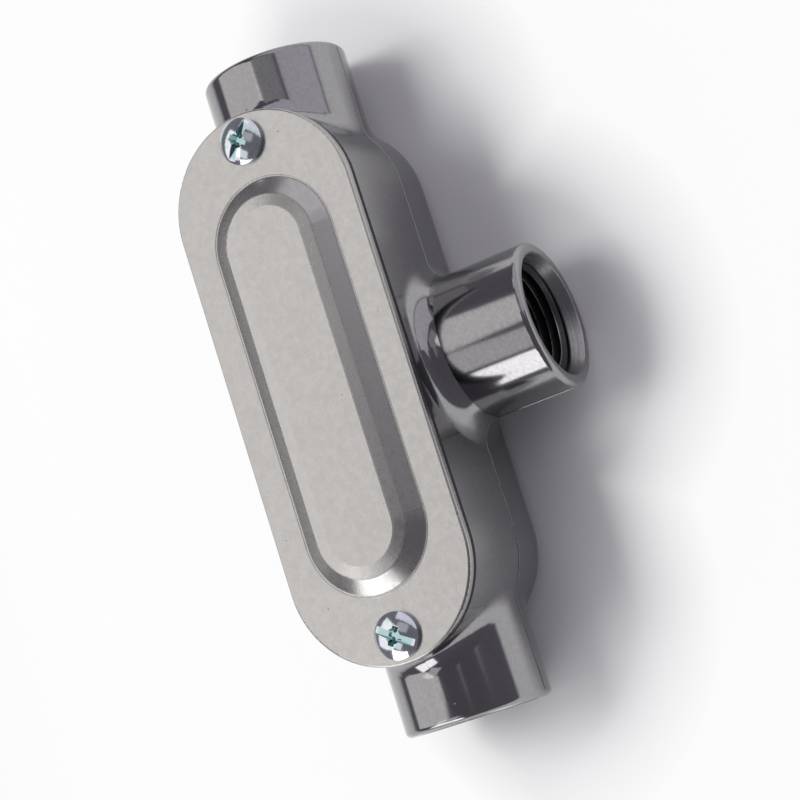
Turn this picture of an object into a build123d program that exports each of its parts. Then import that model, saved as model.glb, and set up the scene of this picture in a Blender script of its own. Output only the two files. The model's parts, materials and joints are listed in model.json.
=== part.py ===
from build123d import *
import math
import os

# Tee conduit body: a die-cast box with three internally threaded hubs, closed by a gasket, a raised
# cover plate and two screws.
# The flat back lies on z = 0 with its centre at the origin, X runs along the two run hubs, Y points at
# the branch hub and Z points out of the cover. Sizes are in millimetres and angles in degrees.

# Conduit and thread of the half-inch trade size
PIPE_R = 10.67           # outside radius of the conduit
PIPE_CLEARANCE = 0.10    # radial, conduit to the root of the hub's thread
THREAD_LENGTH = 11.4     # full thread in each hub

# Box
BOX_HALF = 34.0          # middle to the centre of a rounded end
BOX_SHOULDER = 3.9       # side of the box outside the side of a run hub
BACK_DROP = 0.5          # flat back below the hubs
RIM_RISE = 5.6           # rim over the hubs
DRAFT = 2.4              # taper of the outer walls on both sides of the parting plane
CHAMBER_DRAFT = 1.0      # taper of the chamber's walls
WALL = 2.6               # side wall at the rim
FLOOR = 2.8              # back wall
BACK_EDGE_R = 5.2        # rounding of the back's outer edge
CHAMBER_EDGE_R = 3.0     # rounding of the chamber's floor

# Hubs
HUB_WALL = 3.23          # outside of a hub to the root of its thread
RUN_OUT = 12.6           # end of the box to the face of a run hub
BRANCH_OUT = 20.6        # side of the box to the face of the branch hub
RUN_BLEND_R = 4.5        # hollow corner where a run hub leaves the box
BRANCH_BLEND_R = 4.0     # hollow corner where the branch hub leaves the box
RUN_RIM_R = 1.1          # rounding of a run hub's outer rim
BRANCH_RIM_R = 1.0       # rounding of the branch hub's outer rim
FACE_WIDTH = 1.2         # flat ring between the rounded rim and the mouth
MOUTH_EDGE_R = 0.5       # rounding of the mouth's edge
LEAD_DEPTH = 2.6         # face to the first full thread
THROAT_R = 8.2           # smooth bushing that ends the thread
THROAT_EDGE_R = 1.2      # rounding that the wires pull over
LIP_SHARE = 0.42         # most of a throat's length that either of its two roundings may take
COLLAR_R = 12.6          # outside of a run throat where it stands into the chamber
COLLAR_STAND = 1.8       # how far it stands in
PAST_BOSS = 5.0          # how far the throat's core runs on below a screw boss

# Cover plate and its raised panel
COVER_OVERHANG = 1.1     # cover's edge outside the casting's rim
COVER_THICK = 1.5
COVER_EDGE_R = 0.45
PANEL_BORDER = 6.15      # width of the flat border round the panel
PANEL_INSET = 6.8        # centre of the cover's rounded end to that of the panel's
PANEL_SLOPE = 5.4        # width of the panel's sloping side
PANEL_HEIGHT = 2.4
STEEP_WIDTH_SHARE = 0.57     # steep outer part of the side, share of its width
STEEP_HEIGHT_SHARE = 0.80    # and of its height
PANEL_FOOT_BLEND_R = 0.7
PANEL_BREAK_R = 0.9      # rounding where the side grows less steep
PANEL_CREASE_R = 0.45    # rounding where the side meets the flat top
PANEL_SKIN = 1.6         # thickness of the panel, which is hollow below

# Gasket
GASKET_THICK = 1.4
GASKET_INSET = 0.1       # gasket's edge inside the cover's
GASKET_WIDTH = 3.9       # from its edge to its opening

# Screws, No. 8 with a domed combination head
SCREW_INSET = 4.9        # end of the box to a screw's axis
SCREW_R = 2.05
SCREW_LENGTH = 9.5       # under the head
SCREW_POINT = 0.5        # chamfer at the end of the shank
HEAD_R = 4.3
HEAD_HEIGHT = 2.7
HEAD_SIDE = 1.2          # upright side below the dome
SLOT_WIDTH = 1.5
SLOT_DEPTH = 1.2
CROSS_REACH = 2.2        # middle to the end of the cross recess
CROSS_WIDTH = 1.4
CROSS_DEPTH = 1.8
CROSS_TAPER = 12.0       # slope of the recess's walls
SLOT_ANGLES = (137.0, 55.0)   # how the two slots lie, from X
TAP_CLEARANCE = 0.06     # radial, shank to the casting's screw hole
HOLE_CLEARANCE = 0.30    # radial, shank to cover and gasket
TAP_SPARE = 1.0          # screw hole below the shank's end
BOSS_WALL = 2.3          # round the screw hole

# Sizes that follow from the ones above
BORE_R = PIPE_R + PIPE_CLEARANCE
HUB_R = BORE_R + HUB_WALL
HUB_AXIS_Z = HUB_R + BACK_DROP   # all three axes lie in the plane where the mould parts
BOX_R = HUB_R + BOX_SHOULDER     # rounded ends at the parting plane
CASTING_H = HUB_AXIS_Z + HUB_R + RIM_RISE
TAP_R = SCREW_R + TAP_CLEARANCE
HOLE_R = SCREW_R + HOLE_CLEARANCE
BOSS_R = TAP_R + BOSS_WALL
RUN_REACH = BOX_HALF + BOX_R + RUN_OUT
BRANCH_REACH = BOX_R + BRANCH_OUT
RIM_R = BOX_R - (CASTING_H - HUB_AXIS_Z) * math.tan(math.radians(DRAFT))
CHAMBER_R = RIM_R - WALL
CHAMBER_MID_R = CHAMBER_R - (CASTING_H - HUB_AXIS_Z) * math.tan(math.radians(CHAMBER_DRAFT))
COVER_R = RIM_R + COVER_OVERHANG
PANEL_HALF = BOX_HALF - PANEL_INSET
PANEL_FOOT_R = COVER_R - PANEL_BORDER
PANEL_TOP_R = PANEL_FOOT_R - PANEL_SLOPE
PANEL_BREAK = (PANEL_FOOT_R - STEEP_WIDTH_SHARE * PANEL_SLOPE, STEEP_HEIGHT_SHARE * PANEL_HEIGHT)
COVER_Z = CASTING_H + GASKET_THICK
COVER_TOP_Z = COVER_Z + COVER_THICK
TAP_DEPTH = SCREW_LENGTH - COVER_THICK - GASKET_THICK + TAP_SPARE
THREAD_END = LEAD_DEPTH + THREAD_LENGTH
HUBS = {"run_minus": (-1, 0, 0), "run_plus": (1, 0, 0), "branch": (0, 1, 0)}
SCREW_X = BOX_HALF + BOX_R - SCREW_INSET
SCREW_PLACES = (-SCREW_X, SCREW_X)
FROM_BASE = (Align.CENTER, Align.CENTER, Align.MIN)
FROM_TOP = (Align.CENTER, Align.CENTER, Align.MAX)


def obround(half, radius):
    """Outline with two straight sides and two round ends, long way on X."""
    return SlotCenterToCenter(2 * half, 2 * radius)


def drawn_down(outline, top, depth, taper):
    """Solid below an outline at a height, narrowing downwards."""
    return Pos(0, 0, top) * extrude(Rot(180, 0, 0) * outline, amount=depth, taper=taper)


def hub_reach(hub):
    """Distance from the middle to the face of a hub."""
    return BRANCH_REACH if hub == "branch" else RUN_REACH


def hub_rim_r(hub):
    """Rounding of a hub's outer rim."""
    return BRANCH_RIM_R if hub == "branch" else RUN_RIM_R


def hub_mouth_r(hub):
    """Radius of a hub's mouth at its face."""
    return HUB_R - hub_rim_r(hub) - FACE_WIDTH


def hub_plane(hub, distance):
    """Plane across a hub's axis, facing out of the hub."""
    normal = Vector(*HUBS[hub])
    return Plane(origin=Vector(0, 0, HUB_AXIS_Z) + normal * distance, z_dir=normal)


def edges_round(form, hub, radius):
    """Edges at a radius from a hub's axis, each with its least and greatest distance along the axis."""
    middle = hub_plane(hub, 0)
    found = []
    for edge in form.edges():
        points = [middle.to_local_coords(edge @ share) for share in (0, 0.3, 0.6, 1)]
        if all(abs(math.hypot(point.X, point.Y) - radius) < 1e-3 for point in points):
            found.append((edge, min(point.Z for point in points), max(point.Z for point in points)))
    return found


def outer_form():
    """The casting from outside: a tapered box, three hubs and the hollow corners between them."""
    section = obround(BOX_HALF, BOX_R)
    upper = Pos(0, 0, HUB_AXIS_Z) * extrude(section, amount=CASTING_H - HUB_AXIS_Z, taper=DRAFT)
    form = upper + drawn_down(section, HUB_AXIS_Z, HUB_AXIS_Z, DRAFT)
    form = fillet(form.faces().sort_by(Axis.Z)[0].edges(), BACK_EDGE_R)
    for hub in HUBS:
        reach = hub_reach(hub)
        rim_start = reach - hub_rim_r(hub)
        form += hub_plane(hub, 0) * Cylinder(HUB_R, reach, align=FROM_BASE)
        root = [edge for edge, low, high in edges_round(form, hub, HUB_R) if low > 0 and high < rim_start]
        form = fillet(root, BRANCH_BLEND_R if hub == "branch" else RUN_BLEND_R)
        rim = [edge for edge, low, high in edges_round(form, hub, HUB_R) if low > rim_start]
        form = fillet(rim, hub_rim_r(hub))
    return form


def chamber():
    """The wiring space, open at the rim, with a rounded floor."""
    space = drawn_down(obround(BOX_HALF, CHAMBER_R), CASTING_H, CASTING_H - FLOOR, CHAMBER_DRAFT)
    return fillet(space.faces().sort_by(Axis.Z)[0].edges(), CHAMBER_EDGE_R)


def throat_end(hub):
    """Depth from a hub's face to the end of its throat, at a collar or flush with the chamber's wall."""
    if hub == "branch":
        return BRANCH_REACH - CHAMBER_MID_R
    return RUN_REACH - BOX_HALF - CHAMBER_MID_R + COLLAR_STAND


def hub_passage(hub):
    """What is cut out of a hub: lead-in, thread bore, throat with rounded lips, way past a boss."""
    end = throat_end(hub)
    lip = min(THROAT_EDGE_R, LIP_SHARE * (end - THREAD_END))
    wide = THROAT_R + lip
    mouth_r = hub_mouth_r(hub)
    with BuildSketch(Plane.XZ) as half:
        with BuildLine():
            Polyline((0, 0), (mouth_r, 0), (BORE_R, -LEAD_DEPTH), (BORE_R, -THREAD_END))
            Line((BORE_R, -THREAD_END), (wide, -THREAD_END))
            RadiusArc((wide, -THREAD_END), (THROAT_R, -THREAD_END - lip), -lip)
            Line((THROAT_R, -THREAD_END - lip), (THROAT_R, lip - end))
            RadiusArc((THROAT_R, lip - end), (wide, -end), -lip)
            Polyline((wide, -end), (wide, -end - PAST_BOSS), (0, -end - PAST_BOSS), (0, 0))
        make_face()
    return hub_plane(hub, hub_reach(hub)) * revolve(half.sketch, Axis.Z)


def body_casting():
    """Box and hubs in one piece, hollow, with a boss for each screw and a collar round each run throat."""
    space = chamber()
    for hub in ("run_minus", "run_plus"):
        inner = RUN_REACH - throat_end(hub)
        space -= hub_plane(hub, inner) * Cylinder(COLLAR_R, BOX_R, align=FROM_BASE)
    for x in SCREW_PLACES:
        space -= Pos(x, 0, CASTING_H) * Cylinder(BOSS_R, CASTING_H - HUB_AXIS_Z, align=FROM_TOP)
    casting = outer_form() - space
    for hub in HUBS:
        casting -= hub_passage(hub)
        found = edges_round(casting, hub, hub_mouth_r(hub))
        casting = fillet([edge for edge, low, high in found if low > hub_reach(hub) - 1e-3], MOUTH_EDGE_R)
    for x in SCREW_PLACES:
        casting -= Pos(x, 0, CASTING_H) * Cylinder(TAP_R, TAP_DEPTH, align=FROM_TOP)
    return casting


def cover_gasket():
    """Flat ring between casting and cover that widens round the screws."""
    edge_r = COVER_R - GASKET_INSET
    opening = obround(BOX_HALF, edge_r - GASKET_WIDTH)
    for x in SCREW_PLACES:
        opening -= Pos(x, 0) * Circle(BOSS_R)
    ring = obround(BOX_HALF, edge_r) - opening
    for x in SCREW_PLACES:
        ring -= Pos(x, 0) * Circle(HOLE_R)
    return Pos(0, 0, CASTING_H) * extrude(ring, amount=GASKET_THICK)


def hill(*side):
    """Obround hill on z = 0 whose side is given from foot to top, as radii and heights."""
    with BuildSketch(Plane.XZ) as half:
        with BuildLine():
            Polyline(*side, (0, side[-1][1]), (0, 0), side[0])
        make_face()
    end = revolve(Rot(0, 0, -90) * half.sketch, Axis.Z, 180)
    ridge = extrude(Rot(0, 0, 90) * half.sketch, amount=2 * PANEL_HALF, dir=(1, 0, 0))
    ridge = Pos(-PANEL_HALF, 0, 0) * (ridge + mirror(ridge, Plane.XZ))
    return ridge + Pos(PANEL_HALF, 0, 0) * end + Pos(-PANEL_HALF, 0, 0) * Rot(0, 0, 180) * end


def panel_edges(plate, height):
    """Edges round the panel that lie at a height over the cover's underside."""
    found = []
    for edge in plate.edges():
        point = edge @ 0.5
        reach = math.hypot(max(abs(point.X) - PANEL_HALF, 0), point.Y)
        if reach < PANEL_FOOT_R + PANEL_FOOT_BLEND_R and abs(point.Z - height) < 1e-3:
            found.append(edge)
    return found


def cover_plate():
    """Plate with a raised panel that is hollow below, and a hole for each screw."""
    plate = extrude(obround(BOX_HALF, COVER_R), amount=COVER_THICK)
    plate = fillet(plate.faces().sort_by(Axis.Z)[-1].edges(), COVER_EDGE_R)
    plate += Pos(0, 0, COVER_THICK) * hill((PANEL_FOOT_R, 0), PANEL_BREAK, (PANEL_TOP_R, PANEL_HEIGHT))
    plate = fillet(panel_edges(plate, COVER_THICK), PANEL_FOOT_BLEND_R)
    plate = fillet(panel_edges(plate, COVER_THICK + PANEL_BREAK[1]), PANEL_BREAK_R)
    plate = fillet(panel_edges(plate, COVER_THICK + PANEL_HEIGHT), PANEL_CREASE_R)
    slope = math.atan2(PANEL_HEIGHT, PANEL_SLOPE)
    hollow_height = COVER_THICK + PANEL_HEIGHT - PANEL_SKIN
    hollow_top_r = PANEL_TOP_R - PANEL_SKIN * math.tan(slope / 2)
    hollow_foot_r = hollow_top_r + hollow_height / math.tan(slope)
    plate -= hill((hollow_foot_r, 0), (hollow_top_r, hollow_height))
    for x in SCREW_PLACES:
        plate -= Pos(x, 0, 0) * Cylinder(HOLE_R, COVER_THICK, align=FROM_BASE)
    return Pos(0, 0, COVER_Z) * plate


def cover_screw(angle):
    """Screw standing on its shank's axis, with the underside of its head on z = 0."""
    dome_rise = HEAD_HEIGHT - HEAD_SIDE
    dome_r = (HEAD_R ** 2 + dome_rise ** 2) / (2 * dome_rise)
    with BuildSketch(Plane.XZ) as half:
        with BuildLine():
            Polyline((0, HEAD_HEIGHT), (0, -SCREW_LENGTH), (SCREW_R - SCREW_POINT, -SCREW_LENGTH))
            Line((SCREW_R - SCREW_POINT, -SCREW_LENGTH), (SCREW_R, SCREW_POINT - SCREW_LENGTH))
            Polyline((SCREW_R, SCREW_POINT - SCREW_LENGTH), (SCREW_R, 0), (HEAD_R, 0), (HEAD_R, HEAD_SIDE))
            RadiusArc((HEAD_R, HEAD_SIDE), (0, HEAD_HEIGHT), dome_r)
        make_face()
    screw = revolve(half.sketch, Axis.Z)
    slot = Pos(0, 0, HEAD_HEIGHT) * Box(2 * HEAD_R, SLOT_WIDTH, 2 * SLOT_DEPTH)
    wings = Rectangle(2 * CROSS_REACH, CROSS_WIDTH) + Rectangle(CROSS_WIDTH, 2 * CROSS_REACH)
    screw -= Rot(0, 0, angle) * (slot + drawn_down(wings, HEAD_HEIGHT, CROSS_DEPTH, CROSS_TAPER))
    return screw


if __name__ == "__main__":
    os.makedirs("parts", exist_ok=True)
    export_step(body_casting(), "parts/body_casting.step")
    export_step(cover_gasket(), "parts/cover_gasket.step")
    export_step(cover_plate(), "parts/cover_plate.step")
    for number, (x, angle) in enumerate(zip(SCREW_PLACES, SLOT_ANGLES), start=1):
        export_step(Pos(x, 0, COVER_TOP_Z) * cover_screw(angle), f"parts/cover_screw_{number}.step")
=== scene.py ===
import json
import math

import bpy
from bpy.props import FloatProperty, FloatVectorProperty, IntProperty, PointerProperty
from mathutils import Matrix, Quaternion, Vector


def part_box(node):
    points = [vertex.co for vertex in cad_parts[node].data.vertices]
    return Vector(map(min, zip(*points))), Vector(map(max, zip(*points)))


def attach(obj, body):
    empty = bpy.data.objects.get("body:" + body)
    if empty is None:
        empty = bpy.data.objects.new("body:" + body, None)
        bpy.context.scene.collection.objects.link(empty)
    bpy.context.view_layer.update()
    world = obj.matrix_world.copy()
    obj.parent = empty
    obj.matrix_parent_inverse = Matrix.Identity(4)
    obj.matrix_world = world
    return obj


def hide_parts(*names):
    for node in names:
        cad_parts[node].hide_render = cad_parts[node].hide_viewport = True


bl_info = {
    "name": "Tee Conduit Body",
    "version": (1, 0, 0),
    "blender": (4, 5, 0),
    "location": "3D View > Sidebar > Conduit",
    "description": "Finishes a die-cast tee conduit body and lights it on a pale floor",
    "category": "Object",
}

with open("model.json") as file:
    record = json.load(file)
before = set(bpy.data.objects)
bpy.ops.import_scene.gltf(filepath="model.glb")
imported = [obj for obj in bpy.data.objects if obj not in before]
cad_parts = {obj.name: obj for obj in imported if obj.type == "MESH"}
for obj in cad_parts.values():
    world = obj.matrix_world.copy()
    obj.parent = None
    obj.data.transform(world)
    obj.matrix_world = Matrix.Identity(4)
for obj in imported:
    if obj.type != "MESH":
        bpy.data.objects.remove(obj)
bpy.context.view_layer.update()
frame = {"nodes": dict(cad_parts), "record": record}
MM = 0.001

MOUNTS = {mount["name"]: mount for mount in frame["record"]["mounts"]}
JOINTS = {joint["name"]: joint for joint in frame["record"]["behaviour"]["joints"]}
HUB_NAMES = ("run_minus", "run_plus", "branch")
SCREW_BODIES = ("screw_1", "screw_2")

CASTING_LOW, CASTING_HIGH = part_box("body_casting")
COVER_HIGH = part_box("cover_plate")[1]
HUB_Z = MOUNTS["branch"]["pos_m"][2]
BORE_R = MOUNTS["branch"]["dims"]["r_mm"] * MM
COVER_TOP_Z = JOINTS["screw_1_turn"]["pos_m"][2]
SCREW_X = JOINTS["screw_2_turn"]["pos_m"][0]
BOX_R = -CASTING_LOW[1]
BOX_HALF = COVER_HIGH[0] - COVER_HIGH[1]

# Bump of the metal skins: the height that one unit of the skin stands for, and how deep a nick goes
SKIN_DEPTH = 0.03 * MM
NICK_DEPTH = 1.6

# Place and radius of each nick, in millimetres
CASTING_NICKS = (
    (9.2, 27.4, 26.9, 0.30), (9.6, 27.9, 26.6, 0.28), (-55.2, -1.4, 28.4, 0.30), (-36.4, 18.0, 21.0, 0.35),
    (64.2, -9.6, 6.2, 0.40), (64.0, -8.0, 4.4, 0.30), (63.9, 11.5, 7.4, 0.28), (4.0, 38.2, 1.8, 0.30),
)
COVER_NICKS = (
    (30.6, 18.1, 36.6, 0.55), (-34.9, 4.4, 39.3, 0.22), (-33.6, 5.9, 39.2, 0.20), (-46.0, 7.4, 37.0, 0.16),
    (-8.2, 15.4, 37.0, 0.15), (24.3, -15.6, 37.0, 0.16), (38.4, -11.6, 37.0, 0.18), (3.8, 4.9, 39.4, 0.14),
)

# Where the cutter's marks stand on a lead-in, as shares of its width from the mouth
CUTTER_MARKS = (0.44, 0.76)

# Angle of a pipe thread's flanks, the narrowing of its radius along its length, and the turns in which
# it rises out of the wall
THREAD_FLANK = 30
THREAD_TAPER = 1 / 32
THREAD_RUN_IN = 0.8


def length(name, description, default):
    """A size property in metres, given in millimetres."""
    return FloatProperty(
        name=name, description=description, default=default * MM, unit="LENGTH", precision=5
    )


def share(name, description, default):
    """A plain number from 0 to 1."""
    return FloatProperty(
        name=name, description=description, default=default, min=0, max=1, subtype="FACTOR"
    )


def turned(name, description, default):
    """An angle property, given in degrees."""
    return FloatProperty(name=name, description=description, default=math.radians(default), subtype="ANGLE")


def colour(name, description, default):
    """A linear colour."""
    return FloatVectorProperty(
        name=name, description=description, default=default, min=0, max=1, size=3, subtype="COLOR"
    )


class CastingSettings(bpy.types.PropertyGroup):
    """Finish of the casting and the plan of its parting line"""
    metal: colour("Metal", "Polished die-cast aluminium", (0.330, 0.323, 0.331))
    metal_dark: colour("Dark patches", "Duller patches of the cast skin", (0.296, 0.290, 0.299))
    # Bore: painted shade, a darker tone for the inside of the hubs' bores where little light reaches; the
    # nicks also take it as their dark
    bore: colour("Bore", "Oily dark metal inside the hubs", (0.12, 0.118, 0.122))
    chamber: colour("Chamber", "As-cast metal inside the box", (0.52, 0.51, 0.51))
    chamber_roughness: share("Chamber roughness", "Roughness of the as-cast inside", 0.45)
    lead_roughness: share("Lead-in roughness", "Roughness where the thread cutter entered a hub", 0.30)
    roughness: share("Roughness", "Roughness of the polished skin", 0.115)
    box_half: length("Box half length", "Middle to the centre of a rounded end", BOX_HALF / MM)
    box_radius: length("Box radius", "Rounded ends where the mould parts", BOX_R / MM)
    hub_radius: length("Hub radius", "Outside of the hubs", 14.0)
    run_blend: length("Run blend", "Hollow corner between box and run hub", 4.5)
    branch_blend: length("Branch blend", "Hollow corner between box and branch hub", 4.0)
    run_rim: length("Run rim", "Rounding of a run hub's rim", 1.1)
    branch_rim: length("Branch rim", "Rounding of the branch hub's rim", 1.0)
    seam_radius: length("Seam", "Radius of the raised line where the mould parts", 0.10)


class ThreadSettings(bpy.types.PropertyGroup):
    """Pipe threads of the hubs and the cutter's marks on their lead-ins"""
    pitch: length("Pitch", "Distance from thread to thread, 14 to the inch", 1.814)
    depth: length("Depth", "Height of a thread over its root", 1.1)
    crest: length("Crest", "Flat top of a thread", 0.10)
    # Flanks: painted shade, a dark tone for the grooves of the thread inside the bore; the crests keep a
    # plain metal tone
    shaded_flank: colour("Flanks", "Oily dark flanks of the cut thread", (0.060, 0.058, 0.062))
    crest_metal: colour("Crest metal", "Bright crests of the cut thread", (0.34, 0.335, 0.345))
    roughness: share("Roughness", "Roughness of the cut thread", 0.30)
    start: length("Start", "Hub face to where the thread begins", 1.7)
    mouth_radius: length("Mouth", "Radius of the mouth at a hub's face", 11.8)
    lead: length("Lead-in", "Hub face to the end of the tapered lead-in", 2.6)
    mark_radius: length("Cutter marks", "Radius of the fine raised marks on the lead-in", 0.055)
    end: length("End", "Hub face to where the thread stops", 14.0)
    embed: length("Embed", "Foot of the thread inside the wall", 0.42)
    steps: IntProperty(name="Steps", description="Steps in a turn", default=96, min=24)


class CoverSettings(bpy.types.PropertyGroup):
    """Finish of the cover and the sizes of its panel"""
    metal: colour("Metal", "Satin aluminium of the cover", (0.504, 0.492, 0.476))
    metal_dark: colour("Dark grain", "Duller grain of the cover", (0.482, 0.470, 0.455))
    roughness: share("Roughness", "Roughness of the satin finish", 0.28)
    panel_half: length("Panel half length", "Middle to the centre of the panel's rounded end", 27.2)
    foot_radius: length("Foot radius", "Rounded end of the panel at its foot", 12.03)
    facet_low: length("Facet foot", "Cover's flange to the foot of the panel's inner facet", 1.86)
    facet_high: length("Facet top", "Cover's flange to the top of the panel's inner facet", 2.36)
    bead_radius: length("Bead", "Radius of the fine bead round the panel's foot", 0.14)
    bead_offset: length("Bead offset", "Bead outside the panel's foot", 0.28)
    bead_stand: length("Bead height", "How far the bead stands over the flange", 0.07)


class ScrewSettings(bpy.types.PropertyGroup):
    """Finish and sizes of the cover screws"""
    zinc: colour("Zinc", "Bright zinc plate", (0.74, 0.77, 0.80))
    zinc_green: colour("Green tint", "Passivated zinc with a green tint", (0.58, 0.70, 0.69))
    zinc_violet: colour("Violet tint", "Passivated zinc with a violet tint", (0.66, 0.66, 0.76))
    zinc_deep: colour("Deep tint", "Teal tint in the recess and on the shank", (0.40, 0.56, 0.57))
    roughness: share("Roughness", "Roughness of the plating", 0.08)
    head_radius: length("Head radius", "Outside of the domed head", 4.3)
    head_height: length("Head height", "Underside of the head to its top", 2.4)
    head_side: length("Head side", "Upright side below the dome", 0.9)
    shank_radius: length("Shank radius", "Crest of the screw's thread", 2.05)
    core_radius: length("Core radius", "Root of the screw's thread", 1.62)
    shank_length: length("Shank length", "Underside of the head to the tip", 9.5)
    pitch: length("Pitch", "Thread of the screw, 32 to the inch", 0.794)
    slot_width: length("Slot width", "Slot across the whole head", 1.5)
    slot_depth: length("Slot depth", "Depth of the slot below the crown", 1.2)
    cross_reach: length("Cross reach", "Middle to the end of a cross wing", 2.5)
    cross_width: length("Cross width", "Width of a cross wing", 1.45)
    cross_depth: length("Cross depth", "Depth of the cross below the crown", 1.8)
    slot_angle_1: turned("Slot 1", "Slot of the first screw from X", 137)
    slot_angle_2: turned("Slot 2", "Slot of the second screw from X", 55)


class StageSettings(bpy.types.PropertyGroup):
    """Floor, room and camera"""
    floor: colour("Floor", "Colour of the floor", (0.90, 0.90, 0.90))
    floor_size: FloatProperty(name="Floor size", description="Side of the floor", default=6, unit="LENGTH")
    room: colour("Room", "Dim room round the light boxes", (0.151, 0.146, 0.168))
    # Painted light on the floor: a share of white glow that the camera and the metal see, none in a band
    # round the object so that the lamps' shadow shows there; far off the floor is painted dim
    floor_painted_white: share("Floor white", "Share of white that the camera and the metal see", 0.85)
    painted_white_from: length("White from", "Distance from the object where the white begins", 12.0)
    painted_white_to: length("White to", "Distance from the object where the white is full", 30.0)
    floor_reach: length("Floor reach", "Distance from the object where the floor has become dim", 600.0)
    camera_place: FloatVectorProperty(
        name="Camera", description="Place of the camera", default=(0.07065, 0.17739, 0.39973), unit="LENGTH"
    )
    camera_turn: FloatVectorProperty(
        name="Camera turn", description="Rotation of the camera", subtype="EULER",
        default=[math.radians(angle) for angle in (0.60, 25.72, 70.42)],
    )
    camera_lens: FloatProperty(name="Lens", description="Focal length in millimetres", default=103.0)


def clear_selection():
    """Leaves object mode with nothing selected."""
    if bpy.context.object and bpy.context.object.mode != "OBJECT":
        bpy.ops.object.mode_set(mode="OBJECT")
    bpy.ops.object.select_all(action="DESELECT")


def make_active(piece):
    """Selects one object alone."""
    clear_selection()
    piece.select_set(True)
    bpy.context.view_layer.objects.active = piece


def edit_all(piece):
    """Enters edit mode with all of one piece selected."""
    make_active(piece)
    bpy.ops.object.mode_set(mode="EDIT")
    bpy.ops.mesh.select_all(action="SELECT")


def apply_modifiers(piece):
    """Applies every modifier of a piece in order."""
    make_active(piece)
    for modifier in list(piece.modifiers):
        bpy.ops.object.modifier_apply(modifier=modifier.name)


def settle(piece):
    """Moves a piece's place and turn into its mesh."""
    make_active(piece)
    bpy.ops.object.transform_apply(location=True, rotation=True, scale=True)


def face_outwards(piece):
    """Merges doubles and points all faces outwards."""
    edit_all(piece)
    bpy.ops.mesh.remove_doubles(threshold=0.001 * MM)
    bpy.ops.mesh.normals_make_consistent(inside=False)
    bpy.ops.object.mode_set(mode="OBJECT")


def dissolve_slivers(piece):
    """Makes a piece all triangles and dissolves the slivers that cuts leave behind."""
    sliver = 0.01 * MM
    edit_all(piece)
    bpy.ops.mesh.quads_convert_to_tris(quad_method="BEAUTY", ngon_method="BEAUTY")
    bpy.ops.mesh.remove_doubles(threshold=sliver)
    bpy.ops.mesh.dissolve_degenerate(threshold=sliver)
    bpy.ops.object.mode_set(mode="OBJECT")


def shade(piece, angle):
    """Smooth shading with sharp edges above an angle in degrees."""
    make_active(piece)
    bpy.ops.object.shade_smooth_by_angle(angle=math.radians(angle))


def dress(piece, material):
    """Gives a piece one material, in its only slot."""
    piece.data.materials.clear()
    piece.data.materials.append(material)


def feed(tree, socket, value):
    """Gives an input a number, a vector, a colour or the output of another node."""
    if isinstance(value, bpy.types.NodeSocket):
        tree.links.new(value, socket)
    elif socket.type == "RGBA":
        socket.default_value = (*value, 1)
    else:
        socket.default_value = value


def add_node(tree, kind, inputs=(), **options):
    """New node with its options set and some of its inputs fed, by name or by number."""
    node = tree.nodes.new(kind)
    for name, value in options.items():
        setattr(node, name, value)
    for key, value in dict(inputs).items():
        feed(tree, node.inputs[key], value)
    return node


def calculate(tree, operation, *values):
    """Math node over numbers or sockets."""
    return add_node(tree, "ShaderNodeMath", enumerate(values), operation=operation).outputs[0]


def value_between(tree, value, low, high, first, second):
    """Maps a range of a value to a range of numbers."""
    limits = {"Value": value, "From Min": low, "From Max": high, "To Min": first, "To Max": second}
    return add_node(tree, "ShaderNodeMapRange", limits).outputs["Result"]


def mix_colours(tree, mask, first, second):
    """Colour that goes from the first to the second, each a socket or a value, with a mask."""
    mixed = {"Factor": mask, "A": first, "B": second}
    return add_node(tree, "ShaderNodeMix", mixed, data_type="RGBA").outputs["Result"]


def ramp(tree, value, *stops):
    """Colour ramp over a value, with two or three stops in order, each a position and a colour."""
    node = add_node(tree, "ShaderNodeValToRGB", {"Fac": value})
    elements = node.color_ramp.elements
    if len(stops) > 2:
        elements.new(0.5)
    for element, (position, tone) in zip(elements, stops):
        element.position = position
        element.color = (*tone, 1)
    return node.outputs["Color"]


def object_place(tree):
    """Point of the object, as a vector socket."""
    return tree.nodes.new("ShaderNodeTexCoord").outputs["Object"]


def parts_of(tree, place):
    """X, Y and Z of a vector socket, as sockets."""
    split = add_node(tree, "ShaderNodeSeparateXYZ", {"Vector": place})
    return split.outputs["X"], split.outputs["Y"], split.outputs["Z"]


def noise(tree, scale, detail=2.0, roughness=0.5, place=None):
    """Noise at a place, which is a point of the object unless given."""
    place = place or object_place(tree)
    inputs = {"Vector": place, "Scale": scale, "Detail": detail, "Roughness": roughness}
    return add_node(tree, "ShaderNodeTexNoise", inputs).outputs["Fac"]


def reach(tree, first, second):
    """Length of the vector of two parts."""
    squares = [calculate(tree, "MULTIPLY", part, part) for part in (first, second)]
    return calculate(tree, "SQRT", calculate(tree, "ADD", *squares))


def from_line(tree, along, across, half):
    """Distance from a line of a half length, whose middle is the origin of the two parts."""
    past_end = calculate(tree, "SUBTRACT", calculate(tree, "ABSOLUTE", along), half)
    return reach(tree, calculate(tree, "MAXIMUM", past_end, 0), across)


def new_group(name, inputs, outputs):
    """Empty node group with float inputs, given with their defaults, and float outputs."""
    group = bpy.data.node_groups.new(name, "ShaderNodeTree")
    for socket, default in inputs:
        given = group.interface.new_socket(socket, in_out="INPUT", socket_type="NodeSocketFloat")
        given.default_value = default
    for socket in outputs:
        group.interface.new_socket(socket, in_out="OUTPUT", socket_type="NodeSocketFloat")
    return group, group.nodes.new("NodeGroupInput"), group.nodes.new("NodeGroupOutput")


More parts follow.
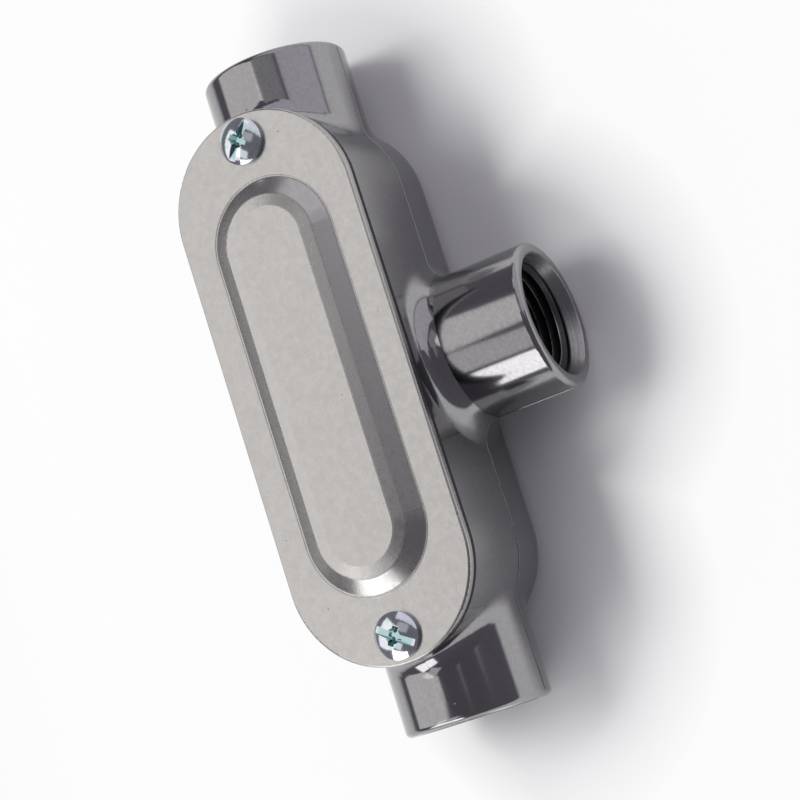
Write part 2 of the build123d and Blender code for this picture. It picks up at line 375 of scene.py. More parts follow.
def hub_group():
    """Node group that gives the distance from the nearest hub's axis and a mask of the hubs' length."""
    name = "Hub Radius"
    if name in bpy.data.node_groups:
        return bpy.data.node_groups[name]
    group, _, outputs = new_group(name, (), ("Radius", "Hub"))
    x, y, z = parts_of(group, object_place(group))
    past_box, past_screw = 0.2 * MM, 1.5 * MM
    rise = calculate(group, "SUBTRACT", z, HUB_Z)
    in_branch = calculate(group, "GREATER_THAN", y, BOX_R + past_box)
    in_run = calculate(group, "GREATER_THAN", calculate(group, "ABSOLUTE", x), SCREW_X + past_screw)
    beside_branch = calculate(group, "SUBTRACT", 1.0, in_branch)
    run = calculate(group, "MULTIPLY", reach(group, y, rise), beside_branch)
    branch = calculate(group, "MULTIPLY", reach(group, x, rise), in_branch)
    feed(group, outputs.inputs["Radius"], calculate(group, "ADD", run, branch))
    feed(group, outputs.inputs["Hub"], calculate(group, "MAXIMUM", in_branch, in_run))
    return group


def within_hub(tree, hub, radius):
    """Mask of what lies inside a radius in a hub, from the hub group's node."""
    near = calculate(tree, "LESS_THAN", hub.outputs["Radius"], radius)
    return calculate(tree, "MULTIPLY", near, hub.outputs["Hub"])


def within_chamber(tree):
    """Mask of what lies inside the middle of the box's walls and above the middle of its back."""
    inset, half_back = 2.9 * MM, 1.5 * MM
    x, y, z = parts_of(tree, object_place(tree))
    inside = calculate(tree, "LESS_THAN", from_line(tree, x, y, BOX_HALF), BOX_R - inset)
    return calculate(tree, "MULTIPLY", inside, calculate(tree, "GREATER_THAN", z, half_back))


def nick_group():
    """Node group of one small nick: a mask that fades out round a point of the object."""
    name = "Nick"
    if name in bpy.data.node_groups:
        return bpy.data.node_groups[name]
    defaults = (("X", 0.0), ("Y", 0.0), ("Z", 0.0), ("Size", 0.3 * MM))
    group, inputs, outputs = new_group(name, defaults, ("Mask",))
    gaps = [
        calculate(group, "SUBTRACT", part, inputs.outputs[socket])
        for part, socket in zip(parts_of(group, object_place(group)), ("X", "Y", "Z"))
    ]
    gap = reach(group, reach(group, gaps[0], gaps[1]), gaps[2])
    part_of_size = calculate(group, "DIVIDE", gap, inputs.outputs["Size"])
    mask = calculate(group, "SUBTRACT", 1.0, calculate(group, "MULTIPLY", part_of_size, part_of_size))
    feed(group, outputs.inputs["Mask"], calculate(group, "MAXIMUM", mask, 0.0))
    return group


def nicks(tree, places):
    """Mask of all nicks, each given by its place and radius in millimetres."""
    total = 0.0
    for place in places:
        sizes = enumerate(value * MM for value in place)
        nick = add_node(tree, "ShaderNodeGroup", sizes, node_tree=nick_group())
        total = calculate(tree, "MAXIMUM", nick.outputs["Mask"], total)
    return total


def surface_group():
    """Node group of a cast skin: slow ripple, mottling, fine grain and pits over the object."""
    name = "Cast Skin"
    if name in bpy.data.node_groups:
        return bpy.data.node_groups[name]
    defaults = (
        ("Ripple Scale", 110.0), ("Mottle Scale", 1500.0), ("Grain Scale", 5200.0), ("Ripple", 1.0),
        ("Mottle", 0.3), ("Grain", 0.1), ("Pit Scale", 240.0), ("Pit Size", 0.05),
    )
    group, inputs, outputs = new_group(name, defaults, ("Mottling", "Height"))
    given = inputs.outputs
    ripple = noise(group, given["Ripple Scale"], 1.5, 0.45)
    mottle = noise(group, given["Mottle Scale"], 4.0, 0.6)
    grain = noise(group, given["Grain Scale"], 2.0, 0.55)
    spots = {"Vector": object_place(group), "Scale": given["Pit Scale"]}
    cells = add_node(group, "ShaderNodeTexVoronoi", spots)
    pits = value_between(group, cells.outputs["Distance"], 0.0, given["Pit Size"], 1.0, 0.0)
    height = calculate(group, "MULTIPLY", ripple, given["Ripple"])
    for texture, amount in ((mottle, "Mottle"), (grain, "Grain")):
        height = calculate(group, "ADD", height, calculate(group, "MULTIPLY", texture, given[amount]))
    feed(group, outputs.inputs["Mottling"], mottle)
    feed(group, outputs.inputs["Height"], calculate(group, "SUBTRACT", height, pits))
    return group


def new_material(name):
    """Material whose node tree has only a Principled shader and its output."""
    material = bpy.data.materials.new(name)
    material.use_nodes = True
    tree = material.node_tree
    tree.nodes.clear()
    shader = tree.nodes.new("ShaderNodeBsdfPrincipled")
    add_node(tree, "ShaderNodeOutputMaterial", {"Surface": shader.outputs["BSDF"]})
    return material, tree, shader


def finish_shader(tree, shader, tone, roughness, height, metallic=1.0, depth=SKIN_DEPTH):
    """Feeds a shader its colour, roughness and metalness, and a bump of a height times a depth."""
    bump = add_node(tree, "ShaderNodeBump", {"Strength": 1.0, "Distance": depth, "Height": height})
    feed(tree, shader.inputs["Normal"], bump.outputs["Normal"])
    for name, value in (("Base Color", tone), ("Roughness", roughness), ("Metallic", metallic)):
        feed(tree, shader.inputs[name], value)


def cast_skin(tree, light, dark, roughness, spread, values):
    """Places the cast skin in a tree and gives its colour, roughness and height."""
    skin = add_node(tree, "ShaderNodeGroup", values, node_tree=surface_group())
    mottling = skin.outputs["Mottling"]
    tone = ramp(tree, mottling, (0.36, dark), (0.62, light))
    polish = value_between(tree, mottling, 0.3, 0.7, roughness + spread, roughness - spread)
    return tone, polish, skin.outputs["Height"]


def nicked(tree, places, darkness, tone, dark, height):
    """Colour and height of a skin with nicks, which take a share of a dark colour."""
    marks = nicks(tree, places)
    tone = mix_colours(tree, calculate(tree, "MULTIPLY", marks, darkness), tone, dark)
    return tone, calculate(tree, "SUBTRACT", height, calculate(tree, "MULTIPLY", marks, NICK_DEPTH))


def casting_metal(settings, thread):
    """Polished casting with nicks, painted shade darkening the hubs' bores, dull on their lead-ins and
    inside the box.
    """
    name = "Cast Aluminium"
    if name in bpy.data.materials:
        return bpy.data.materials[name]
    material, tree, shader = new_material(name)
    tone, polish, height = cast_skin(
        tree, settings.metal, settings.metal_dark, settings.roughness, 0.02,
        {"Ripple": 1.0, "Mottle": 0.035, "Grain": 0.008, "Pit Scale": 150.0, "Pit Size": 0.035},
    )
    tone, height = nicked(tree, CASTING_NICKS, 0.4, tone, settings.bore, height)
    hub = add_node(tree, "ShaderNodeGroup", node_tree=hub_group())
    into_wall, into_face = 0.08 * MM, 0.03 * MM
    bore = within_hub(tree, hub, BORE_R + into_wall)
    mouth = within_hub(tree, hub, thread.mouth_radius + into_face)
    chamber = within_chamber(tree)
    tone = mix_colours(tree, chamber, tone, settings.chamber)
    # Painted shade: the hubs' bores take the darker bore tone
    tone = mix_colours(tree, bore, tone, settings.bore)
    cutter_dulled = calculate(tree, "MULTIPLY", mouth, settings.lead_roughness - settings.roughness)
    as_cast = calculate(tree, "MULTIPLY", chamber, settings.chamber_roughness - settings.roughness)
    roughness = calculate(tree, "ADD", polish, calculate(tree, "MAXIMUM", cutter_dulled, as_cast))
    finish_shader(tree, shader, tone, roughness, height)
    return material


def thread_metal(thread):
    """Cut thread: flanks darkened as painted shade, and bright crests in a plain metal tone."""
    name = "Cut Thread"
    if name in bpy.data.materials:
        return bpy.data.materials[name]
    material, tree, shader = new_material(name)
    darker_shaded_flank = tuple(value * 0.7 for value in thread.shaded_flank)
    tone, roughness, height = cast_skin(
        tree, thread.shaded_flank, darker_shaded_flank, thread.roughness, 0.06,
        {"Ripple": 0.2, "Mottle": 0.2, "Grain": 0.08, "Pit Scale": 300.0, "Pit Size": 0.03},
    )
    radius = add_node(tree, "ShaderNodeGroup", node_tree=hub_group()).outputs["Radius"]
    crest_r = BORE_R - thread.depth
    bright, faded = 0.02 * MM, 0.10 * MM
    crest = value_between(tree, radius, crest_r + bright, crest_r + faded, 1.0, 0.0)
    # Crests keep the metal tone, and the flanks between them carry the painted shade
    tone = mix_colours(tree, crest, tone, thread.crest_metal)
    metallic = value_between(tree, crest, 0.0, 1.0, 0.6, 1.0)
    finish_shader(tree, shader, tone, roughness, height, metallic)
    return material


def cover_metal(settings):
    """Satin cover plate with fine grain, rougher on the panel's inner facet, and a few nicks."""
    name = "Cover Aluminium"
    if name in bpy.data.materials:
        return bpy.data.materials[name]
    material, tree, shader = new_material(name)
    tone, roughness, height = cast_skin(
        tree, settings.metal, settings.metal_dark, settings.roughness, 0.04,
        {"Ripple": 0.5, "Mottle Scale": 800.0, "Mottle": 0.024, "Grain": 0.014, "Pit Scale": 170.0,
         "Pit Size": 0.03},
    )
    place = object_place(tree)
    rise = calculate(tree, "SUBTRACT", parts_of(tree, place)[2], COVER_TOP_Z)
    above = calculate(tree, "GREATER_THAN", rise, settings.facet_low)
    below = calculate(tree, "LESS_THAN", rise, settings.facet_high)
    facet = calculate(tree, "MULTIPLY", above, below)
    stretch = add_node(tree, "ShaderNodeMapping", {"Vector": place, "Scale": (0.35, 1.0, 1.0)})
    streaks = noise(tree, 3400.0, place=stretch.outputs["Vector"])
    streak_height = 0.35
    rough = calculate(tree, "MULTIPLY", facet, streaks)
    height = calculate(tree, "ADD", height, calculate(tree, "MULTIPLY", rough, streak_height))
    dark = tuple(value * 0.4 for value in settings.metal)
    tone, height = nicked(tree, COVER_NICKS, 0.35, tone, dark, height)
    finish_shader(tree, shader, tone, roughness, height)
    return material


def gasket_rubber():
    """Matt black rubber with a faint grain."""
    material, tree, shader = new_material("Gasket Rubber")
    grain = noise(tree, 2600.0, 3.0)
    tone = ramp(tree, grain, (0.35, (0.010, 0.010, 0.011)), (0.7, (0.028, 0.027, 0.028)))
    roughness = value_between(tree, grain, 0.3, 0.7, 0.55, 0.8)
    finish_shader(tree, shader, tone, roughness, grain, 0.0, 0.05 * MM)
    return material


def dome_radius(sizes):
    """Radius of the sphere that a screw's dome is part of."""
    rise = sizes.head_height - sizes.head_side
    return (sizes.head_radius ** 2 + rise ** 2) / (2 * rise)


def below_dome(tree, settings):
    """Mask of what lies under a screw's dome and inside its rim: slot, cross and shank."""
    clean, deep, rim = 0.12 * MM, 0.5 * MM, 0.3 * MM
    x, y, z = parts_of(tree, object_place(tree))
    from_axis = reach(tree, calculate(tree, "SUBTRACT", calculate(tree, "ABSOLUTE", x), SCREW_X), y)
    square = calculate(tree, "MULTIPLY", from_axis, from_axis)
    fall = calculate(tree, "DIVIDE", square, 2 * dome_radius(settings))
    dome = calculate(tree, "SUBTRACT", COVER_TOP_Z + settings.head_height, fall)
    sunk = value_between(tree, calculate(tree, "SUBTRACT", dome, z), clean, deep, 0.0, 1.0)
    within = calculate(tree, "LESS_THAN", from_axis, settings.head_radius - rim)
    return calculate(tree, "MULTIPLY", sunk, within)


def zinc_plate(settings):
    """Bright zinc with soft green and violet tints, and a deeper tint under the dome."""
    name = "Zinc Plate"
    if name in bpy.data.materials:
        return bpy.data.materials[name]
    material, tree, shader = new_material(name)
    tint = noise(tree, 420.0)
    grain = noise(tree, 3800.0, 3.0)
    tone = ramp(tree, tint, (0.34, settings.zinc_green), (0.5, settings.zinc), (0.66, settings.zinc_violet))
    tone = mix_colours(tree, below_dome(tree, settings), tone, settings.zinc_deep)
    roughness = value_between(tree, grain, 0.3, 0.7, settings.roughness, settings.roughness + 0.08)
    finish_shader(tree, shader, tone, roughness, grain, depth=0.008 * MM)
    return material


def wire_loop(name, points, closed, radius):
    """Fine round wire along points, as a mesh."""
    clear_selection()
    bpy.ops.curve.primitive_nurbs_path_add()
    piece = bpy.context.object
    piece.name = name
    piece.location = (0, 0, 0)
    curve = piece.data
    curve.splines.clear()
    line = curve.splines.new("POLY")
    line.points.add(len(points) - 1)
    for point, place in zip(line.points, points):
        point.co = (*place, 1)
    line.use_cyclic_u = closed
    curve.dimensions = "3D"
    curve.bevel_depth = radius
    curve.bevel_resolution = 2
    curve.use_fill_caps = True
    bpy.ops.object.convert(target="MESH")
    shade(piece, 50)
    return piece


def arc(centre, radius, start, end, steps):
    """Points of an arc in a plan, from angle to angle in radians."""
    return [
        (centre[0] + radius * math.cos(angle), centre[1] + radius * math.sin(angle))
        for angle in (start + (end - start) * step / steps for step in range(steps + 1))
    ]


def obround(half, radius):
    """Points round an outline with two straight sides and two round ends."""
    quarter = math.pi / 2
    return arc((half, 0), radius, -quarter, quarter, 48) + arc((-half, 0), radius, quarter, 3 * quarter, 48)


def seam_plan(settings, toward_branch):
    """Plan of the mould's parting line from the middle of one side to the face of a run hub, on +X."""
    half, box_r, hub_r = settings.box_half, settings.box_radius, settings.hub_radius
    blend = settings.run_blend
    centre_y = hub_r + blend
    centre_x = half + math.sqrt((box_r + blend) ** 2 - centre_y ** 2)
    meeting = math.atan2(centre_y, centre_x - half)
    points = []
    if toward_branch:
        small = settings.branch_blend
        points.append((hub_r, CASTING_HIGH[1] - settings.branch_rim))
        points += arc((hub_r + small, box_r + small), small, math.pi, 1.5 * math.pi, 12)
    points += arc((half, 0), box_r, math.pi / 2, meeting, 24)
    points += arc((centre_x, centre_y), blend, meeting + math.pi, 1.5 * math.pi, 12)
    points.append((CASTING_HIGH[0] - settings.run_rim, hub_r))
    return points


def seam_lines(settings):
    """The three stretches of the parting line, in space."""
    right = seam_plan(settings, True)
    left = [(-x, y) for x, y in right]
    far = seam_plan(settings, False)
    far = [(-x, -y) for x, y in reversed(far)] + [(x, -y) for x, y in far]
    return [[(x, y, HUB_Z) for x, y in plan] for plan in (right, left, far)]


def turned_ridge(name, profile, pitch, turns, steps):
    """Closed section in the XZ plane carried round Z as a helix with capped ends."""
    clear_selection()
    bpy.ops.mesh.primitive_circle_add(vertices=len(profile), radius=MM, fill_type="NGON")
    piece = bpy.context.object
    piece.name = name
    for vertex, (radius, height) in zip(piece.data.vertices, profile):
        vertex.co = (radius, 0, height)
    modifier = piece.modifiers.new("Turns", "SCREW")
    modifier.axis = "Z"
    modifier.angle = math.tau * turns
    modifier.screw_offset = pitch * turns
    modifier.steps = modifier.render_steps = round(steps * turns)
    modifier.use_merge_vertices = False
    apply_modifiers(piece)
    cap_ends(piece)
    face_outwards(piece)
    return piece


def cap_ends(piece):
    """Fills the open ends of a helix."""
    make_active(piece)
    bpy.ops.object.mode_set(mode="EDIT")
    bpy.ops.mesh.select_all(action="DESELECT")
    bpy.ops.mesh.select_mode(type="EDGE")
    bpy.ops.mesh.select_non_manifold(extend=False, use_wire=False, use_boundary=True, use_multi_face=False,
                                     use_non_contiguous=False, use_verts=False)
    bpy.ops.mesh.fill_holes(sides=0)
    bpy.ops.object.mode_set(mode="OBJECT")


def hub_face(hub):
    """Axis of a hub and the middle of its face."""
    mount = MOUNTS[hub]
    axis = Vector(mount["axis"])
    end = CASTING_HIGH[1] if hub == "branch" else CASTING_HIGH[0]
    return axis, Vector(mount["pos_m"]) + axis * (end - max(abs(value) for value in mount["pos_m"][:2]))


def taper_thread(piece, pitch, half_foot):
    """Narrows a thread along its axis and lets it rise out of the wall at its start."""
    run_in = pitch * THREAD_RUN_IN
    for vertex in piece.data.vertices:
        turn = math.atan2(vertex.co.y, vertex.co.x)
        radius = math.hypot(vertex.co.x, vertex.co.y) - max(vertex.co.z, 0) * THREAD_TAPER
        if vertex.co.z < run_in and radius < BORE_R:
            radius += (BORE_R - radius) * max(0, 1 - (vertex.co.z + half_foot) / (run_in + half_foot))
        vertex.co.x, vertex.co.y = radius * math.cos(turn), radius * math.sin(turn)


def hub_thread(hub, sizes):
    """Tapered pipe thread of one hub, standing on the wall of its bore."""
    slope = math.tan(math.radians(THREAD_FLANK))
    half_foot = sizes.depth * slope + sizes.crest / 2
    foot = half_foot + sizes.embed * slope
    crest_r = BORE_R - sizes.depth
    foot_r = BORE_R + sizes.embed
    profile = [(foot_r, -foot), (crest_r, -sizes.crest / 2), (crest_r, sizes.crest / 2), (foot_r, foot)]
    run = sizes.end - sizes.start - 2 * half_foot
    piece = turned_ridge(f"thread_{hub}", profile, sizes.pitch, run / sizes.pitch, sizes.steps)
    taper_thread(piece, sizes.pitch, half_foot)
    axis, face = hub_face(hub)
    inwards = (-axis).to_track_quat("Z", "Y").to_matrix().to_4x4()
    piece.matrix_world = Matrix.Translation(face - axis * (sizes.start + half_foot)) @ inwards
    settle(piece)
    shade(piece, 30)
    return piece


def cutter_mark(name, hub, sizes, part):
    """Fine raised ring that the thread cutter left on a lead-in, at a share of its width."""
    steps = 128
    radius = sizes.mouth_radius + (BORE_R - sizes.mouth_radius) * part
    axis, face = hub_face(hub)
    across = axis.orthogonal().normalized()
    upright = axis.cross(across)
    centre = face - axis * (sizes.lead * part)
    ring = [
        centre + (across * math.cos(turn) + upright * math.sin(turn)) * radius
        for turn in (math.tau * step / steps for step in range(steps))
    ]
    return wire_loop(name, ring, True, sizes.mark_radius)


class CONDUIT_OT_casting(bpy.types.Operator):
    """Gives the casting its polished, mottled skin and the raised line where its mould parts"""
    bl_idname = "conduit.casting"
    bl_label = "Casting"

    def execute(self, context):
        settings = context.scene.conduit_casting
        metal = casting_metal(settings, context.scene.conduit_thread)
        dress(frame["nodes"]["body_casting"], metal)
        for number, line in enumerate(seam_lines(settings), start=1):
            seam = wire_loop(f"parting_line_{number}", line, False, settings.seam_radius)
            dress(seam, metal)
            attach(seam, "casting")
        return {"FINISHED"}


class CONDUIT_OT_threads(bpy.types.Operator):
    """Cuts the pipe thread of each hub and leaves the cutter's marks on its lead-in"""
    bl_idname = "conduit.threads"
    bl_label = "Hub Threads"

    def execute(self, context):
        sizes = context.scene.conduit_thread
        metal = casting_metal(context.scene.conduit_casting, sizes)
        cut_metal = thread_metal(sizes)
        for hub in HUB_NAMES:
            thread = hub_thread(hub, sizes)
            dress(thread, cut_metal)
            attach(thread, "casting")
            for number, part in enumerate(CUTTER_MARKS, start=1):
                mark = cutter_mark(f"cutter_mark_{hub}_{number}", hub, sizes, part)
                dress(mark, metal)
                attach(mark, "casting")
        return {"FINISHED"}


class CONDUIT_OT_gasket(bpy.types.Operator):
    """Makes the gasket matt black rubber"""
    bl_idname = "conduit.gasket"
    bl_label = "Gasket"

    def execute(self, context):
        dress(frame["nodes"]["cover_gasket"], gasket_rubber())
        return {"FINISHED"}


class CONDUIT_OT_cover(bpy.types.Operator):
    """Gives the cover its satin finish and the fine bead round its panel"""
    bl_idname = "conduit.cover"
    bl_label = "Cover"

    def execute(self, context):
        settings = context.scene.conduit_cover
        metal = cover_metal(settings)
        dress(frame["nodes"]["cover_plate"], metal)
        plan = obround(settings.panel_half, settings.foot_radius + settings.bead_offset)
        height = COVER_TOP_Z + settings.bead_stand - settings.bead_radius
        bead = wire_loop("panel_bead", [(x, y, height) for x, y in plan], True, settings.bead_radius)
        dress(bead, metal)
        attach(bead, "cover")
        return {"FINISHED"}


def extrude_to(radius_from, radius_to, rise):
    """Extrudes the selected face along Z and scales it to a new radius."""
    bpy.ops.mesh.extrude_region_move(TRANSFORM_OT_translate={"value": (0, 0, rise)})
    factor = radius_to / radius_from
    bpy.ops.transform.resize(value=(factor, factor, 1), center_override=(0, 0, 0))


def extrude_dome(sizes, rings):
    """Extrudes the selected face from the head's side to the crown and closes it there."""
    rise = sizes.head_height - sizes.head_side
    dome_r = dome_radius(sizes)
    widest = math.asin(sizes.head_radius / dome_r)
    radius, height = sizes.head_radius, 0
    for ring in range(1, rings):
        angle = widest * (1 - ring / rings)
        next_radius = dome_r * math.sin(angle)
        next_height = dome_r * math.cos(angle) - (dome_r - rise)
        extrude_to(radius, next_radius, next_height - height)
        radius, height = next_radius, next_height
    bpy.ops.mesh.extrude_region_move(TRANSFORM_OT_translate={"value": (0, 0, rise - height)})
    bpy.ops.mesh.merge(type="CENTER")


def head_and_core(sizes):
    """Domed head and plain core of a screw, with the underside of the head on z = 0."""
    tip, fillet, edge = 0.6 * MM, 0.3 * MM, 0.15 * MM
    radius = sizes.core_radius - 0.45 * MM
    clear_selection()
    bpy.ops.mesh.primitive_circle_add(vertices=96, radius=radius, fill_type="NGON",
                                      location=(0, 0, -sizes.shank_length))
    piece = bpy.context.object
    settle(piece)
    edit_all(piece)
    for next_radius, rise in (
        (sizes.core_radius, tip), (sizes.core_radius, sizes.shank_length - tip - fillet),
        (sizes.core_radius + fillet, fillet), (sizes.head_radius - edge, 0),
        (sizes.head_radius, edge), (sizes.head_radius, sizes.head_side - edge),
    ):
        extrude_to(radius, next_radius, rise)
        radius = next_radius
    extrude_dome(sizes, rings=22)
    bpy.ops.object.mode_set(mode="OBJECT")
    face_outwards(piece)
    return piece


def cutter(size, floor_share, depth, top):
    """Box that narrows downwards, hanging from just above a height."""
    clear_selection()
    above = 1.0 * MM
    middle = top + (above - depth) / 2
    bpy.ops.mesh.primitive_cube_add(size=1, location=(0, 0, middle), scale=(*size, depth + above))
    piece = bpy.context.object
    settle(piece)
    for vertex in piece.data.vertices:
        if vertex.co.z < top:
            vertex.co.x *= floor_share[0]
            vertex.co.y *= floor_share[1]
    return piece


def cone_cutter(radius, depth, top):
    """Blunt cone that narrows downwards from a radius at a height."""
    clear_selection()
    above = 0.5 * MM
    tip_share = 0.25
    tip = radius * tip_share
    mouth = radius + above * (radius - tip) / depth
    middle = top + (above - depth) / 2
    bpy.ops.mesh.primitive_cone_add(vertices=48, radius1=tip, radius2=mouth, depth=depth + above,
                                    location=(0, 0, middle))
    piece = bpy.context.object
    settle(piece)
    return piece


def cut(piece, tool):
    """Cuts a tool out of a piece and deletes the tool."""
    modifier = piece.modifiers.new("Cut", "BOOLEAN")
    modifier.operation = "DIFFERENCE"
    modifier.solver = "EXACT"
    modifier.object = tool
    apply_modifiers(piece)
    bpy.data.objects.remove(tool)


def cut_drive(piece, sizes):
    """Cuts the slot and the cross with its hollow middle into a screw's head."""
    crown = sizes.head_height
    slot = (3 * sizes.head_radius, sizes.slot_width)
    wings = (2 * sizes.cross_reach, sizes.cross_width)
    slot_floor, wings_floor, hollow = (1, 0.86), (0.4, 0.55), 0.6
    cut(piece, cutter(slot, slot_floor, sizes.slot_depth, crown))
    for turn in (0, 90):
        tool = cutter(wings, wings_floor, sizes.cross_depth, crown)
        tool.rotation_euler.z = math.radians(turn)
        settle(tool)
        cut(piece, tool)
    cut(piece, cone_cutter(sizes.cross_reach * hollow, sizes.cross_depth, crown))
    dissolve_slivers(piece)


def break_edges(piece):
    """Rounds a screw's sharp edges a little."""
    bevel = piece.modifiers.new("Edges", "BEVEL")
    bevel.width = 0.06 * MM
    bevel.segments = 2
    bevel.limit_method = "ANGLE"
    bevel.angle_limit = math.radians(38)
    apply_modifiers(piece)
    dissolve_slivers(piece)


def screw_thread(sizes):
    """Machine thread of a screw, standing on its core and fading out at both ends."""
    height = sizes.shank_radius - sizes.core_radius
    half_foot, half_crest = sizes.pitch * 0.42, 0.05 * MM
    foot_r = sizes.core_radius - 0.1 * MM
    faded_r = sizes.core_radius - 0.02 * MM
    from_tip, run = 0.5 * MM, sizes.shank_length - 1.6 * MM
    fade_in, fade_out = sizes.pitch * 1.2, sizes.pitch
    profile = [
        (foot_r, -half_foot), (foot_r, half_foot), (sizes.shank_radius, half_crest),
        (sizes.shank_radius, -half_crest),
    ]
    piece = turned_ridge("screw_thread", profile, sizes.pitch, run / sizes.pitch, 48)
    for vertex in piece.data.vertices:
        radius = math.hypot(vertex.co.x, vertex.co.y)
        keep = min(1, max(0, vertex.co.z / fade_in), max(0, (run - vertex.co.z) / fade_out))
        if radius > sizes.core_radius:
            factor = (faded_r + height * keep) / radius
            vertex.co.x *= factor
            vertex.co.y *= factor
    piece.location = (0, 0, -sizes.shank_length + from_tip)
    settle(piece)
    return piece


def screw(sizes):
    """One cover screw, standing on the axis Z with the underside of its head on z = 0."""
    piece = head_and_core(sizes)
    cut_drive(piece, sizes)
    break_edges(piece)
    thread = screw_thread(sizes)
    make_active(piece)
    thread.select_set(True)
    bpy.ops.object.join()
    shade(piece, 32)
    return piece


class CONDUIT_OT_screws(bpy.types.Operator):
    """Models the two cover screws with slot, cross recess and thread"""
    bl_idname = "conduit.screws"
    bl_label = "Screws"

    def execute(self, context):
        sizes = context.scene.conduit_screw
        plate = zinc_plate(sizes)
        first = screw(sizes)
        second = first.copy()
        second.data = first.data.copy()
        context.collection.objects.link(second)
        turns = (sizes.slot_angle_1, sizes.slot_angle_2)
        for piece, body, turn in zip((first, second), SCREW_BODIES, turns):
            piece.name = f"zinc_{body}"
            piece.rotation_euler.z = turn
            piece.location = JOINTS[f"{body}_turn"]["pos_m"]
            settle(piece)
            dress(piece, plate)
            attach(piece, body)
            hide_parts(f"cover_{body}")
        return {"FINISHED"}


def aim(direction, distance, roll, shift):
    """Place and turn of a lamp that faces the object, from its azimuth and elevation in degrees."""
    azimuth, elevation = (math.radians(angle) for angle in direction)
    level = math.cos(elevation)
    way = Vector((level * math.cos(azimuth), level * math.sin(azimuth), math.sin(elevation)))
    turn = way.to_track_quat("Z", "Y") @ Quaternion((0, 0, 1), math.radians(roll))
    target = Vector((0, 0, 20 * MM))
    return way * distance + turn @ Vector((shift, 0, 0)) + target, turn.to_euler()


def light_box(name, direction, size, level, distance=1.0, tint=(1, 1, 1), roll=0, shift=0):
    """Rectangular light of a brightness, rolled in its own plane and shifted along its width."""
    lamp = bpy.data.lights.new(name, "AREA")
    lamp.shape = "RECTANGLE"
    lamp.size, lamp.size_y = size
    lamp.energy = level * math.pi * lamp.size * lamp.size_y
    lamp.color = tint
    holder = bpy.data.objects.new(name, lamp)
    bpy.context.collection.objects.link(holder)
    holder.location, holder.rotation_euler = aim(direction, distance, roll, shift)
    return holder


def studio_lights():
    """Light boxes that the metal mirrors, and one that lights the floor and stays out of the metal."""
    light_box("Key Box", (-116, 47), (1.45, 1.10), 0.97, tint=(1.0, 0.985, 0.96), roll=-15, shift=0.27)
    light_box("Side Box", (140, 26), (1.60, 0.98), 0.64, tint=(0.96, 0.94, 1.0))
    light_box("Edge Light", (-29, 23), (0.62, 0.52), 2.5, distance=0.9)
    light_box("Top Box", (-48, 57), (0.60, 0.42), 0.72)
    light_box("Back Box", (152, 70), (0.62, 0.46), 0.28)
    sweep = light_box("Floor Light", (-112, 60), (0.5, 0.5), 7.5, distance=1.2)
    sweep.visible_glossy = False


def from_outline(tree):
    """Distance on the floor from the casting's outline, longer on the side away from the branch, so that
    the painted white comes closer there and a band of shadow is kept on the branch side.
    """
    x, y, _ = parts_of(tree, object_place(tree))
    from_run = from_line(tree, x, y, CASTING_HIGH[0] - BOX_R)
    middle = (CASTING_HIGH[1] - BOX_R) / 2
    from_branch = from_line(tree, calculate(tree, "SUBTRACT", y, middle), x, middle)
    gap = calculate(tree, "SUBTRACT", calculate(tree, "MINIMUM", from_run, from_branch), BOX_R)
    return calculate(tree, "SUBTRACT", gap, calculate(tree, "MINIMUM", y, 0))


def seen_directly(tree):
    """One for what the camera sees, in glass and metal too, and nought for light that falls on things."""
    path = tree.nodes.new("ShaderNodeLightPath")
    seen = calculate(tree, "ADD", path.outputs["Is Camera Ray"], path.outputs["Is Glossy Ray"])
    seen = calculate(tree, "ADD", seen, path.outputs["Is Transmission Ray"])
    return calculate(tree, "MINIMUM", seen, 1.0)


def floor_material(settings):
    """Matt white floor with a hardly visible unevenness, painted dimmer far off, and a painted white glow
    for the camera and in the metal that is held back in a band round the object.
    """
    material, tree, shader = new_material("Floor")
    cloud = noise(tree, 3.0)
    gap = from_outline(tree)
    # Painted white glow: none within a band round the object, full further out, fading again far off
    near = value_between(tree, gap, settings.painted_white_from, settings.painted_white_to, 0.0, settings.floor_painted_white)
    far = value_between(tree, gap, settings.floor_reach / 4, settings.floor_reach, 1.0, 0.0)
    # The floor's colour darkens far off: painted fall-off of light
    shaded, dim = (tuple(value * factor for value in settings.floor) for factor in (0.985, 0.55))
    tone = ramp(tree, cloud, (0.3, shaded), (0.7, settings.floor))
    matt = {"Base Color": mix_colours(tree, far, dim, tone), "Roughness": 1.0, "Specular IOR Level": 0.0}
    for name, value in matt.items():
        feed(tree, shader.inputs[name], value)
    white = tree.nodes.new("ShaderNodeEmission")
    painted_white_share = calculate(tree, "MULTIPLY", seen_directly(tree), calculate(tree, "MULTIPLY", near, far))
    output = shader.outputs["BSDF"].links[0].to_node
    layers = {0: painted_white_share, 1: shader.outputs["BSDF"], 2: white.outputs["Emission"]}
    blend = add_node(tree, "ShaderNodeMixShader", layers)
    feed(tree, output.inputs["Surface"], blend.outputs["Shader"])
    return material


def room_world(settings):
    """Dim room, a little lighter towards the horizon."""
    world = bpy.data.worlds.new("Room")
    world.use_nodes = True
    tree = world.node_tree
    direction = tree.nodes.new("ShaderNodeTexCoord").outputs["Generated"]
    horizon = tuple(value * 1.25 for value in settings.room)
    tone = ramp(tree, parts_of(tree, direction)[2], (0.0, horizon), (0.9, settings.room))
    feed(tree, tree.nodes["Background"].inputs["Color"], tone)
    bpy.context.scene.world = world


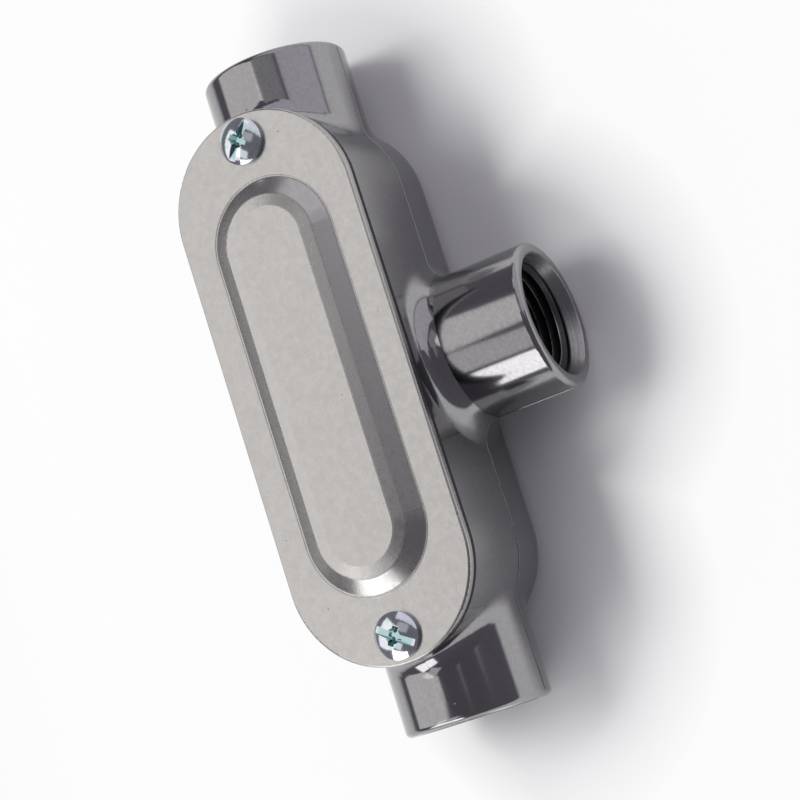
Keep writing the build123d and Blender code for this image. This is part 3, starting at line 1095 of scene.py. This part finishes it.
class CONDUIT_OT_stage(bpy.types.Operator):
    """Sets up the floor, the light boxes, the dim room and the camera"""
    bl_idname = "conduit.stage"
    bl_label = "Stage"

    def execute(self, context):
        settings = context.scene.conduit_stage
        clear_selection()
        floor_z = CASTING_LOW[2] - 0.02 * MM
        bpy.ops.mesh.primitive_plane_add(size=settings.floor_size, location=(0, 0, floor_z))
        floor = context.object
        floor.name = "floor"
        settle(floor)
        floor.data.materials.append(floor_material(settings))
        room_world(settings)
        studio_lights()
        camera = bpy.data.objects.new("Camera", bpy.data.cameras.new("Camera"))
        context.collection.objects.link(camera)
        camera.location = settings.camera_place
        camera.rotation_euler = settings.camera_turn
        camera.data.lens = settings.camera_lens
        camera.data.clip_start = 10 * MM
        context.scene.camera = camera
        context.scene.view_settings.view_transform = "Standard"
        return {"FINISHED"}


class CONDUIT_PT_panel(bpy.types.Panel):
    """Steps that finish and light the conduit body"""
    bl_idname = "CONDUIT_PT_panel"
    bl_label = "Conduit Body"
    bl_space_type = "VIEW_3D"
    bl_region_type = "UI"
    bl_category = "Conduit"

    def draw(self, context):
        for operator in OPERATORS:
            self.layout.operator(operator.bl_idname)


SETTINGS = {
    "conduit_casting": CastingSettings,
    "conduit_thread": ThreadSettings,
    "conduit_cover": CoverSettings,
    "conduit_screw": ScrewSettings,
    "conduit_stage": StageSettings,
}
OPERATORS = (
    CONDUIT_OT_casting,
    CONDUIT_OT_threads,
    CONDUIT_OT_gasket,
    CONDUIT_OT_cover,
    CONDUIT_OT_screws,
    CONDUIT_OT_stage,
)


def register():
    """Registers the classes and hangs the settings on the scene."""
    for group in SETTINGS.values():
        bpy.utils.register_class(group)
    for name, group in SETTINGS.items():
        setattr(bpy.types.Scene, name, PointerProperty(type=group))
    for item in (*OPERATORS, CONDUIT_PT_panel):
        bpy.utils.register_class(item)


def unregister():
    """Takes away what register added, in the opposite order."""
    for item in (CONDUIT_PT_panel, *reversed(OPERATORS)):
        bpy.utils.unregister_class(item)
    for name, group in SETTINGS.items():
        delattr(bpy.types.Scene, name)
        bpy.utils.unregister_class(group)


def main():
    """Registers the add-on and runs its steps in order."""
    register()
    bpy.ops.conduit.casting()
    bpy.ops.conduit.threads()
    bpy.ops.conduit.gasket()
    bpy.ops.conduit.cover()
    bpy.ops.conduit.screws()
    bpy.ops.conduit.stage()


if __name__ == "__main__":
    main()
